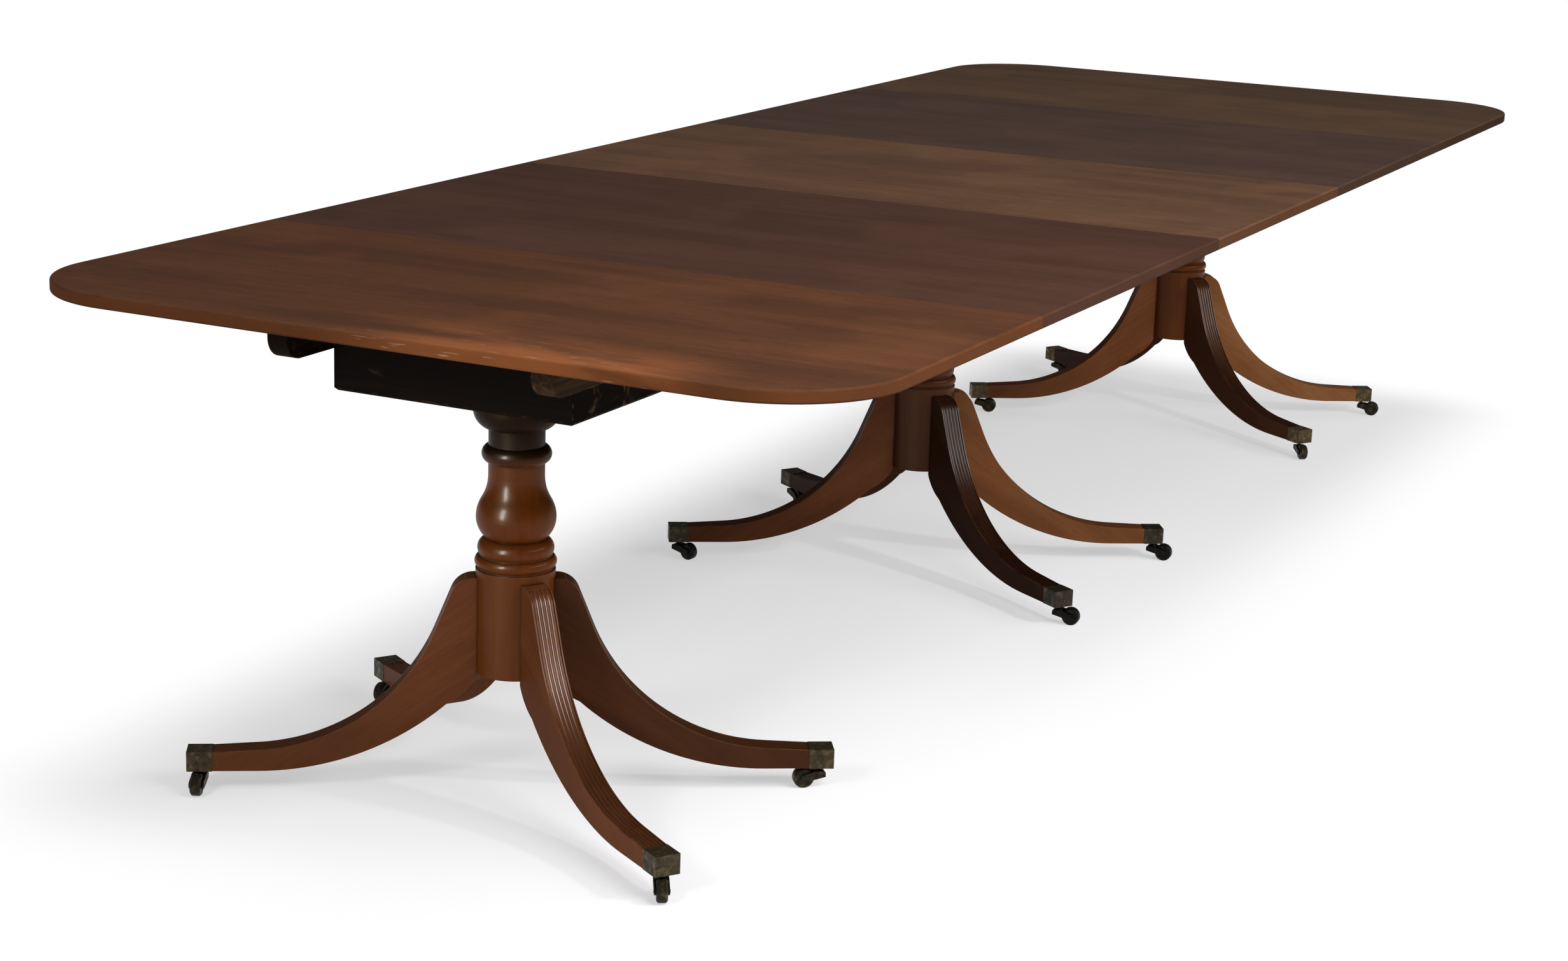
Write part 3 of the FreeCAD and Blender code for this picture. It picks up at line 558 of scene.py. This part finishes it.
@dataclass(frozen=True)
class TarnishedBrass:
    """Cast brass that has tarnished.

    To the eye it is a dull grey-olive skin with darker corners, and yellow metal where it is rubbed.
    """

    name: str
    skin: str
    metal: str
    tarnish: str
    metallic: float = 0.7
    polish: Pair = (0.36, 0.56)
    patch_mm: float = 10.0
    rubbing: float = 0.4
    bare: float = 0.6
    film: float = 0.7
    round_mm: float = 0.8
    hollow_mm: float = 4.0
    hollow_tarnish: float = 0.8
    # Casting sand leaves grains of half a millimetre or less. They are drawn coarser so that they show.
    cast_mm: Triple = (1.8, 1.8, 1.8)
    cast_depth_mm: float = 0.15
    cast_bump: float = 0.25

    def material(self) -> bpy.types.Material:
        """Make the node material of this finish."""
        surface = Surface(self.name)
        tree = surface.tree
        patch = (self.patch_mm, self.patch_mm, self.patch_mm)
        long_patch = (self.patch_mm * 2, self.patch_mm, self.patch_mm)
        normal, arris = surface.eased(self.round_mm, self.bare)
        rubbed = surface.patches(patch, self.rubbing, Spread.BARE_METAL, detail=4.0)
        film = surface.patches(long_patch, self.film, Spread.TARNISH, detail=5.0, warp=0.8)
        brass = surface.coats(
            self.skin, (self.metal, rubbed), (self.tarnish, film), (self.metal, arris),
            (self.tarnish, surface.hollows(self.hollow_mm, self.hollow_tarnish)))
        roughness = add_node(tree, "ShaderNodeMapRange", {
            "Value": rubbed, "From Max": self.rubbing, "To Min": self.polish[1], "To Max": self.polish[0]})
        cast = add_node(tree, "ShaderNodeBump", {
            "Height": surface.patches(self.cast_mm, 1.0, Spread.UNEVEN, detail=2.0),
            "Strength": self.cast_bump, "Distance": self.cast_depth_mm * MM, "Normal": normal})
        return surface.finish(brass, roughness.outputs[0], cast.outputs[0], {"Metallic": self.metallic})


def dress(node: str, material: bpy.types.Material) -> None:
    """Give a node of the frame its finish.

    Args:
        node: name of the node.
        material: finish of all its faces.
    """
    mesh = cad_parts[node].data
    mesh.materials.clear()
    mesh.materials.append(material)
    LOG.info("%s: %s", node, material.name)


@dataclass
class ScrewRow:
    """Slotted brass screws that one body shows from below."""

    name: str
    body: str
    places: Sequence[Triple]
    head_mm: float = 7.6
    rim_mm: float = 0.6
    slot_mm: float = 1.2
    slot_depth_mm: float = 0.6
    sunk_mm: float = 0.2
    sides: int = 20
    turn_degrees: float = 47.0
    looking_up: float = 0.9

    def build(self, brass: bpy.types.Material) -> None:
        """Set a head at each place, every one with its slot turned another way.

        Args:
            brass: finish of the screws.
        """
        shape = bmesh.new()
        self.cut_head(shape)
        pattern = shape.verts[:] + shape.edges[:] + shape.faces[:]
        for number, place in enumerate(self.places):
            turned = Matrix.Rotation(math.radians(self.turn_degrees * number), 4, "Z")
            upside_down = Matrix.Translation(place) @ Matrix.Rotation(math.pi, 4, "X") @ turned
            copy = bmesh.ops.duplicate(shape, geom=pattern)["geom"]
            corners = [part for part in copy if isinstance(part, bmesh.types.BMVert)]
            bmesh.ops.transform(shape, matrix=upside_down, verts=corners)
        bmesh.ops.delete(shape, geom=[part for part in pattern if isinstance(part, bmesh.types.BMVert)],
                         context="VERTS")
        mesh = bpy.data.meshes.new(self.name)
        shape.to_mesh(mesh)
        shape.free()
        mesh.materials.append(brass)
        piece = bpy.data.objects.new(self.name, mesh)
        bpy.context.scene.collection.objects.link(piece)
        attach(piece, self.body)
        LOG.info("%s: %d heads", self.name, len(self.places))

    def cut_head(self, shape: bmesh.types.BMesh) -> None:
        """Make one head at the origin, looking up, with its slot along Y.

        Args:
            shape: empty mesh that takes the head.
        """
        half_slot = self.slot_mm * MM / 2
        radius = self.head_mm * MM / 2
        bmesh.ops.create_cone(shape, cap_ends=True, cap_tris=False, segments=self.sides,
                              radius1=radius, radius2=radius, depth=self.rim_mm * MM)
        for side in (-half_slot, half_slot):
            bmesh.ops.bisect_plane(shape, geom=shape.verts[:] + shape.edges[:] + shape.faces[:],
                                   plane_co=(side, 0.0, 0.0), plane_no=(1.0, 0.0, 0.0))
        shape.normal_update()
        cheeks = [face for face in shape.faces
                  if face.normal.z > self.looking_up and abs(face.calc_center_median().x) > half_slot]
        raised = bmesh.ops.extrude_discrete_faces(shape, faces=cheeks)["faces"]
        bmesh.ops.translate(shape, verts=[corner for face in raised for corner in face.verts],
                            vec=(0.0, 0.0, self.slot_depth_mm * MM))
        bmesh.ops.translate(shape, verts=shape.verts[:],
                            vec=(0.0, 0.0, (self.rim_mm / 2 - self.sunk_mm) * MM))


@dataclass
class TableTop:
    """The five boards of the top, with the brass that joins them from below."""

    boards: Mapping[str, Mahogany] = field(default_factory=lambda: {
        # The near section takes painted shade along its long side at -Y.
        "near_top": Mahogany(
            "polished mahogany near section", "#482c1c", "#392217", "#623c25", rubbed="#9c5d35",
            centre=(0.31, 0.20, 0.0), edge="#5c351d", shaded_long_edge=0.35, bright_wax=0.1,
            raw_under="#4a3222", worn_along_mm=(-1590.0, -1760.0)),
        "near_leaf": Mahogany(
            "polished mahogany near leaf", "#442c21", "#35221b", "#52362a",
            centre=(0.12, 0.47, 0.3), edge="#38241b", bright_wax=0.1, raw_under="#46301f"),
        "middle_top": Mahogany(
            "polished mahogany middle section", "#5a402f", "#462f22", "#715039",
            centre=(0.55, 0.09, 0.6), edge="#442718", bright_wax=0.1, raw_under="#4a3222"),
        "far_leaf": Mahogany(
            "polished mahogany far leaf", "#4b372e", "#3e2c26", "#584236",
            centre=(0.23, 0.71, 0.9), edge="#322317", bright_wax=0.1, raw_under="#46301f"),
        "far_top": Mahogany(
            "polished mahogany far section", "#533d2d", "#432f23", "#674c38",
            centre=(0.44, 0.35, 1.2), edge="#24190f", bright_wax=0.1, raw_under="#4a3222"),
    })
    fixing_y_mm: float = 420.0
    tongue_screws_mm: Pair = (15.0, 46.0)
    keeper_length_mm: float = 26.0
    keeper_screw_y_mm: float = 24.5

    def build(self, brass: bpy.types.Material) -> None:
        """Dress the boards, and their pegs, tongues and keepers, and set the screws of these.

        Args:
            brass: finish of the brass under the top.
        """
        for node, finish in self.boards.items():
            dress(node, finish.material())
        for leaf in LEAVES:
            dress(f"{leaf}_leaf_pegs", brass)
            dress(f"{leaf}_leaf_tongues", brass)
            ScrewRow(f"{leaf}_tongue_screws", f"{leaf}_leaf_unit", self.tongue_screws(leaf)).build(brass)
        for prefix in PEDESTALS:
            dress(f"{prefix}_keepers", brass)
            ScrewRow(f"{prefix}_keeper_screws", f"{prefix}_unit", self.keeper_screws(prefix)).build(brass)

    def tongue_screws(self, leaf: str) -> list[Triple]:
        """Find the screws of a leaf's tongues.

        Args:
            leaf: which leaf.

        Returns:
            The places on the undersides of the tongues.
        """
        low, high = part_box(f"{leaf}_leaf")
        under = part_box(f"{leaf}_leaf_tongues")[0].z
        return [(end + inward * back * MM, side * self.fixing_y_mm * MM, under)
                for end, inward in ((low.x, 1), (high.x, -1))
                for side in (-1, 1)
                for back in self.tongue_screws_mm]

    def keeper_screws(self, prefix: str) -> list[Triple]:
        """Find the screws of a section's keepers, one at each side of the tongue's way.

        Args:
            prefix: which section.

        Returns:
            The places on the undersides of the keepers.
        """
        low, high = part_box(f"{prefix}_keepers")
        half = self.keeper_length_mm * MM / 2
        # A section with keepers at one end only has one middle, once both are rounded to a tenth of a mm.
        middles = sorted({round(low.x + half, 4), round(high.x - half, 4)})
        return [(middle, (side * self.fixing_y_mm + flank * self.keeper_screw_y_mm) * MM, low.z)
                for middle in middles
                for side in (-1, 1)
                for flank in (-1, 1)]


class WoodTone(Enum):
    """Tone of a turned or shaped piece: its ground, streaks and pale figure.

    Tones differ from piece to piece partly as wood does. The darkest tone and the deep red one are
    painted shade, and the three palest are painted light.
    """

    SHADED_BLACK = ("#31190d", "#221007", "#3d2214")
    DARK = ("#3f2313", "#2e180c", "#4e2d19")
    BROWN = ("#4a2b18", "#361c0e", "#5a351f")
    PLAIN = ("#60361d", "#472512", "#734428")
    LIT_PALE = ("#6d4225", "#502d16", "#805331")
    LIT_TAWNY = ("#7f4a2b", "#5e331a", "#925c38")
    LIT_PALEST = ("#875531", "#653b1e", "#996840")
    RED = ("#5f2d08", "#441d06", "#703a10")
    SHADED_RED = ("#45220d", "#301609", "#512b12")


@lru_cache(maxsize=None)
def leg_wood(leg: str, tone: WoodTone) -> bpy.types.Material:
    """Make the finish of a leg, with its grain running from shoulder to toe.

    Args:
        leg: place of the leg round its column.
        tone: shade of its wood.

    Returns:
        The material.
    """
    sheltered = leg != "front_left"
    open_wax = 1.0 if tone in (WoodTone.SHADED_BLACK, WoodTone.BROWN) else 0.6
    # The back left and front right legs are darker towards the floor.
    darker_below = {"back_left": 0.35, "front_right": 0.2}.get(leg, 0.0)
    low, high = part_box(f"middle_{leg}_leg")
    column_low, column_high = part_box("middle_column")
    out = (low + high) / 2 - (column_low + column_high) / 2
    slope = math.radians(35)
    # Upward faces take painted shade, stronger on the front left leg.
    return Mahogany(
        f"polished mahogany {tone.name.lower()} {leg.replace('_', ' ')} leg", *tone.value,
        turn=(0.0, slope, math.atan2(out.y, out.x)),
        figure_mm=(500.0, 60.0, 60.0), streak_mm=(260.0, 6.0, 6.0), figure=0.55, pores=0.15,
        polish=(0.28, 0.38), specular=0.05 if sheltered else 0.02,
        bright_wax=0.15 if sheltered else open_wax, wax_roughness=0.34,
        waxed_facing=(0.0, 0.14), wax_ends_facing=(0.72, 0.5), waxed_above_mm=(90.0, 200.0),
        shaded_upper=0.4 if sheltered else 0.7, darker_below=darker_below, dull_under=True).material()


@lru_cache(maxsize=None)
def column_wood(tone: WoodTone) -> bpy.types.Material:
    """Make the finish of a turned column, darker where it meets its block: partly a stain and partly
    painted shade under the top.

    Args:
        tone: shade of its wood.

    Returns:
        The material.
    """
    return Mahogany(
        f"polished mahogany {tone.name.lower()} column", *tone.value, turn=GrainWay.UPRIGHT.value,
        figure_mm=(420.0, 50.0, 50.0), streak_mm=(220.0, 6.0, 6.0), pores=0.15,
        polish=(0.40, 0.48), specular=0.08, sheen="#ffe8bc", bright_wax=0.12, wax_roughness=0.22,
        waxed_facing=(-1.0, -0.9), waxed_above_mm=(540.0, 510.0), stain_and_shade_above_mm=475.0).material()


@dataclass
class Pedestal:
    """One pedestal: bearers, block, turned column, four legs and their castors."""

    prefix: str
    column_tone: WoodTone
    leg_tones: Mapping[str, WoodTone]
    bearer_mm: float = 32.0
    bearer_screws: int = 4
    screw_margin_mm: float = 90.0

    def build(self, deal: Mapping[str, bpy.types.Material], cap: bpy.types.Material,
              castor: bpy.types.Material, screw: bpy.types.Material) -> None:
        """Dress every piece of the pedestal, and set the screws of its bearers.

        Args:
            deal: finishes of the bearers and of the block.
            cap: finish of the toe caps.
            castor: finish of forks and wheels.
            screw: finish of the screws.
        """
        dress(f"{self.prefix}_bearers", deal["bearers"])
        dress(f"{self.prefix}_block", deal["block"])
        dress(f"{self.prefix}_column", column_wood(self.column_tone))
        dress(f"{self.prefix}_toe_caps", cap)
        for leg, tone in self.leg_tones.items():
            dress(f"{self.prefix}_{leg}_leg", leg_wood(leg, tone))
            dress(f"{self.prefix}_{leg}_horn", castor)
            dress(f"{self.prefix}_{leg}_wheel", castor)
        ScrewRow(f"{self.prefix}_bearer_screws", f"{self.prefix}_unit", self.screw_places()).build(screw)

    def screw_places(self) -> list[Triple]:
        """Find the screws that hold the bearers up to the top.

        Returns:
            The places on the undersides of the bearers.
        """
        low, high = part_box(f"{self.prefix}_bearers")
        first = low.x + self.screw_margin_mm * MM
        step = (high.x - low.x - 2 * self.screw_margin_mm * MM) / (self.bearer_screws - 1)
        inset = self.bearer_mm * MM / 2
        return [(first + number * step, middle, low.z)
                for middle in (low.y + inset, high.y - inset)
                for number in range(self.bearer_screws)]


@dataclass
class Viewpoint:
    """The camera, at the place and angle that the photograph was taken from."""

    place: Triple = (-4.8756, -2.1054, 1.5165)
    yaw_degrees: float = -63.8516
    pitch_degrees: float = 14.5918
    roll_degrees: float = 1.9412
    focal_pixels: float = 4626.5
    photo_width: float = 2464.0
    sensor_mm: float = 36.0
    sight_metres: float = 500.0

    def build(self) -> None:
        """Make the camera and look through it."""
        yaw = math.radians(self.yaw_degrees)
        pitch = math.radians(self.pitch_degrees)
        back = Vector((math.sin(yaw) * math.cos(pitch), -math.cos(yaw) * math.cos(pitch), math.sin(pitch)))
        right = back.cross(Vector((0.0, 0.0, -1.0))).normalized()
        upright = Matrix((right, back.cross(right), back)).transposed().to_4x4()
        roll = Matrix.Rotation(math.radians(self.roll_degrees), 4, "Z")
        data = bpy.data.cameras.new("photograph_view")
        data.sensor_fit = "HORIZONTAL"
        data.sensor_width = self.sensor_mm
        data.lens = self.sensor_mm * self.focal_pixels / self.photo_width
        data.clip_end = self.sight_metres
        camera = bpy.data.objects.new("photograph_view", data)
        camera.matrix_world = Matrix.Translation(self.place) @ upright @ roll
        bpy.context.scene.collection.objects.link(camera)
        bpy.context.scene.camera = camera


@dataclass(frozen=True)
class Softbox:
    """One soft studio lamp, aimed at a point.

    A lamp that shines is seen in polish, and one that fills lights the colours. One with spares reaches
    only the nodes of the frame whose names have other endings.
    """

    name: str
    place: Triple
    target: Triple
    size: Pair
    watts: float
    shines: bool = True
    fills: bool = True
    spares: tuple[str, ...] = ()

    def build(self) -> None:
        """Hang the lamp, aim it and set what it reaches."""
        data = bpy.data.lights.new(self.name, "AREA")
        data.shape = "RECTANGLE"
        data.size, data.size_y = self.size
        data.energy = self.watts
        lamp = bpy.data.objects.new(self.name, data)
        lamp.visible_glossy = self.shines
        lamp.visible_diffuse = self.fills
        aim = Vector(self.target) - Vector(self.place)
        turned = aim.to_track_quat("-Z", "Y").to_matrix().to_4x4()
        lamp.matrix_world = Matrix.Translation(self.place) @ turned
        bpy.context.scene.collection.objects.link(lamp)
        if self.spares:
            lit = bpy.data.collections.new(f"{self.name}_reach")
            for node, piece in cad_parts.items():
                if not node.endswith(self.spares):
                    lit.objects.link(piece)
            lamp.light_linking.receiver_collection = lit


@dataclass
class Studio:
    """A pale floor under a soft dome of light, with lamps at the near end, its corner and the front."""

    lamps: Sequence[Softbox] = (
        Softbox("end_lamp", place=(-5.0, 0.5, 2.6), target=(-1.4, 0.0, 0.4),
                size=(0.8, 0.8), watts=60.0, shines=False),
        Softbox("end_strip", place=(-4.6, 0.5, 1.4), target=(-1.4, 0.0, 0.5),
                size=(0.65, 1.8), watts=320.0, fills=False, spares=BOARD_ENDINGS + SHELTERED_ENDINGS),
        Softbox("corner_lamp", place=(-1.75, -1.6, 1.75), target=(-1.45, -0.45, 0.7),
                size=(1.0, 1.0), watts=32.0, shines=False),
        Softbox("front_strip", place=(-0.2, -3.8, 2.35), target=(-0.1, 0.0, 0.2),
                size=(5.0, 0.4), watts=90.0, fills=False, spares=BOARD_ENDINGS),
        Softbox("front_fill", place=(-0.2, -3.8, 2.35), target=(-0.1, 0.0, 0.2),
                size=(5.0, 0.4), watts=90.0, shines=False),
        Softbox("front_lamp", place=(-0.6, -3.2, 2.6), target=(-0.3, 0.0, 0.0),
                size=(0.3, 0.3), watts=50.0, shines=False),
    )
    dome: float = 0.55
    dome_low: float = 0.025
    dome_rim: Pair = (0.35, 0.75)
    dome_in_polish: float = 0.015
    floor_colour: str = "#e4e3e6"
    floor_half: float = 150.0
    pool_half: Triple = (1.72, 0.42, 1.0)
    pool_fade: float = 0.32
    shadow_share: float = 0.5

    def build(self) -> None:
        """Lay the floor, hang the lamps and light the dome."""
        mesh = bpy.data.meshes.new("studio_floor")
        shape = bmesh.new()
        bmesh.ops.create_grid(shape, x_segments=1, y_segments=1, size=self.floor_half)
        shape.to_mesh(mesh)
        shape.free()
        floor = bpy.data.objects.new("studio_floor", mesh)
        mesh.materials.append(self.floor_material())
        bpy.context.scene.collection.objects.link(floor)
        for lamp in self.lamps:
            lamp.build()
        self.light_dome()

    @staticmethod
    def shown(tree: bpy.types.NodeTree, in_polish: float = 1.0) -> bpy.types.NodeSocket:
        """Pick out the rays that show the background itself: to the eye, through glass and in polish.

        Args:
            tree: node tree of the floor or the dome.
            in_polish: how much of the background polish and metal show.

        Returns:
            The socket of the share.
        """
        rays = add_node(tree, "ShaderNodeLightPath")
        polish = add_node(tree, "ShaderNodeMath", {
            0: rays.outputs["Is Glossy Ray"], 1: in_polish}, operation="MULTIPLY")
        direct = add_node(tree, "ShaderNodeMath", {
            0: rays.outputs["Is Camera Ray"], 1: rays.outputs["Is Transmission Ray"]}, operation="MAXIMUM")
        both = add_node(tree, "ShaderNodeMath", {
            0: direct.outputs[0], 1: polish.outputs[0]}, operation="MAXIMUM")
        return both.outputs[0]

    def light_dome(self) -> None:
        """Light the room from above, dim near the horizon, with a white background to the eye."""
        world = bpy.data.worlds.new("studio_dome")
        world.use_nodes = True
        tree = world.node_tree
        spot = add_node(tree, "ShaderNodeTexCoord")
        axes = add_node(tree, "ShaderNodeSeparateXYZ", {0: spot.outputs["Generated"]})
        rise = add_node(tree, "ShaderNodeMapRange", {
            "Value": axes.outputs["Z"], "From Min": self.dome_rim[0], "From Max": self.dome_rim[1],
            "To Min": self.dome_low, "To Max": self.dome}, interpolation_type="SMOOTHSTEP")
        # A mix has its numbers at inputs 2 and 3.
        strength = add_node(tree, "ShaderNodeMix", {
            0: self.shown(tree, self.dome_in_polish), 2: rise.outputs["Result"], 3: 1.0})
        background = tree.nodes["Background"]
        background.inputs["Color"].default_value = linear(WHITE)
        tree.links.new(strength.outputs[0], background.inputs["Strength"])
        bpy.context.scene.world = world

    def floor_material(self) -> bpy.types.Material:
        """Make pale studio paper that is white away from the table, and keeps its shadow."""
        material = bpy.data.materials.new("pale studio paper")
        material.use_nodes = True
        tree = material.node_tree
        tree.nodes.clear()
        paper = add_node(tree, "ShaderNodeBsdfDiffuse", {"Color": linear(self.floor_colour)})
        spot = add_node(tree, "ShaderNodeTexCoord")
        side = add_node(tree, "ShaderNodeVectorMath", {0: spot.outputs["Object"]}, operation="ABSOLUTE")
        beyond = add_node(tree, "ShaderNodeVectorMath", {
            0: side.outputs[0], 1: self.pool_half}, operation="SUBTRACT")
        outside = add_node(tree, "ShaderNodeVectorMath", {
            0: beyond.outputs[0], 1: (0.0, 0.0, 0.0)}, operation="MAXIMUM")
        reach = add_node(tree, "ShaderNodeVectorMath", {0: outside.outputs[0]}, operation="LENGTH")
        lift = add_node(tree, "ShaderNodeMapRange", {
            "Value": reach.outputs["Value"], "From Max": self.pool_fade,
            "To Min": 1.0 - self.shadow_share, "To Max": 1.0}, interpolation_type="SMOOTHSTEP")
        white = add_node(tree, "ShaderNodeEmission", {"Color": linear(WHITE)})
        share = add_node(tree, "ShaderNodeMath", {
            0: self.shown(tree), 1: lift.outputs[0]}, operation="MULTIPLY")
        surface = add_node(tree, "ShaderNodeMixShader", {
            0: share.outputs[0], 1: paper.outputs[0], 2: white.outputs[0]})
        add_node(tree, "ShaderNodeOutputMaterial", {"Surface": surface.outputs[0]})
        return material


def main() -> None:
    """Build the table's looks, then the studio and the camera."""
    logging.basicConfig(level=logging.INFO, format="%(name)s %(message)s")
    bpy.context.scene.view_settings.view_transform = "Standard"
    fixing_brass = TarnishedBrass("tarnished brass fixings", "#5b4e33", "#9a8250", "#3a3325").material()
    cap_brass = TarnishedBrass("tarnished brass toe caps", "#403827", "#705f3b", "#272316").material()
    dull_brass = TarnishedBrass("dulled brass toe caps", "#342e22", "#5c5139", "#201c13").material()
    worn_brass = TarnishedBrass("rubbed brass toe caps", "#50432c", "#8a7444", "#32291a").material()
    castor_brass = TarnishedBrass("blackened brass castors", "#2a2319", "#645534", "#15120c").material()
    sooty_brass = TarnishedBrass("sooted brass castors", "#0f0e0a", "#29251b", "#080706").material()
    deal = {
        "bearers": StainedDeal("stained deal bearers", GrainWay.ALONG_TABLE.value, "#2c2016", "#433121",
                               scuffs=0.8, black_side_across_mm=(0.0, 100.0)).material(),
        "block": StainedDeal("stained deal block", GrainWay.ACROSS_TABLE.value).material(),
    }
    TableTop().build(fixing_brass)
    # The middle column and middle front left leg take tones of painted shade, and the middle front right
    # leg and the far back left and front right legs take tones of painted light.
    dark, plain, lit_pale, lit_palest = WoodTone.DARK, WoodTone.PLAIN, WoodTone.LIT_PALE, WoodTone.LIT_PALEST
    blackish, brown, lit_tawny = WoodTone.SHADED_BLACK, WoodTone.BROWN, WoodTone.LIT_TAWNY
    Pedestal("near", WoodTone.RED, dict(zip(LEGS, (plain, plain, dark, plain)))).build(
        deal, cap_brass, castor_brass, fixing_brass)
    Pedestal("middle", WoodTone.SHADED_RED, dict(zip(LEGS, (plain, blackish, lit_pale, dark)))).build(
        deal, dull_brass, sooty_brass, fixing_brass)
    Pedestal("far", WoodTone.RED, dict(zip(LEGS, (lit_tawny, brown, lit_palest, dark)))).build(
        deal, worn_brass, castor_brass, fixing_brass)
    Studio().build()
    Viewpoint().build()


if __name__ == "__main__":
    main()
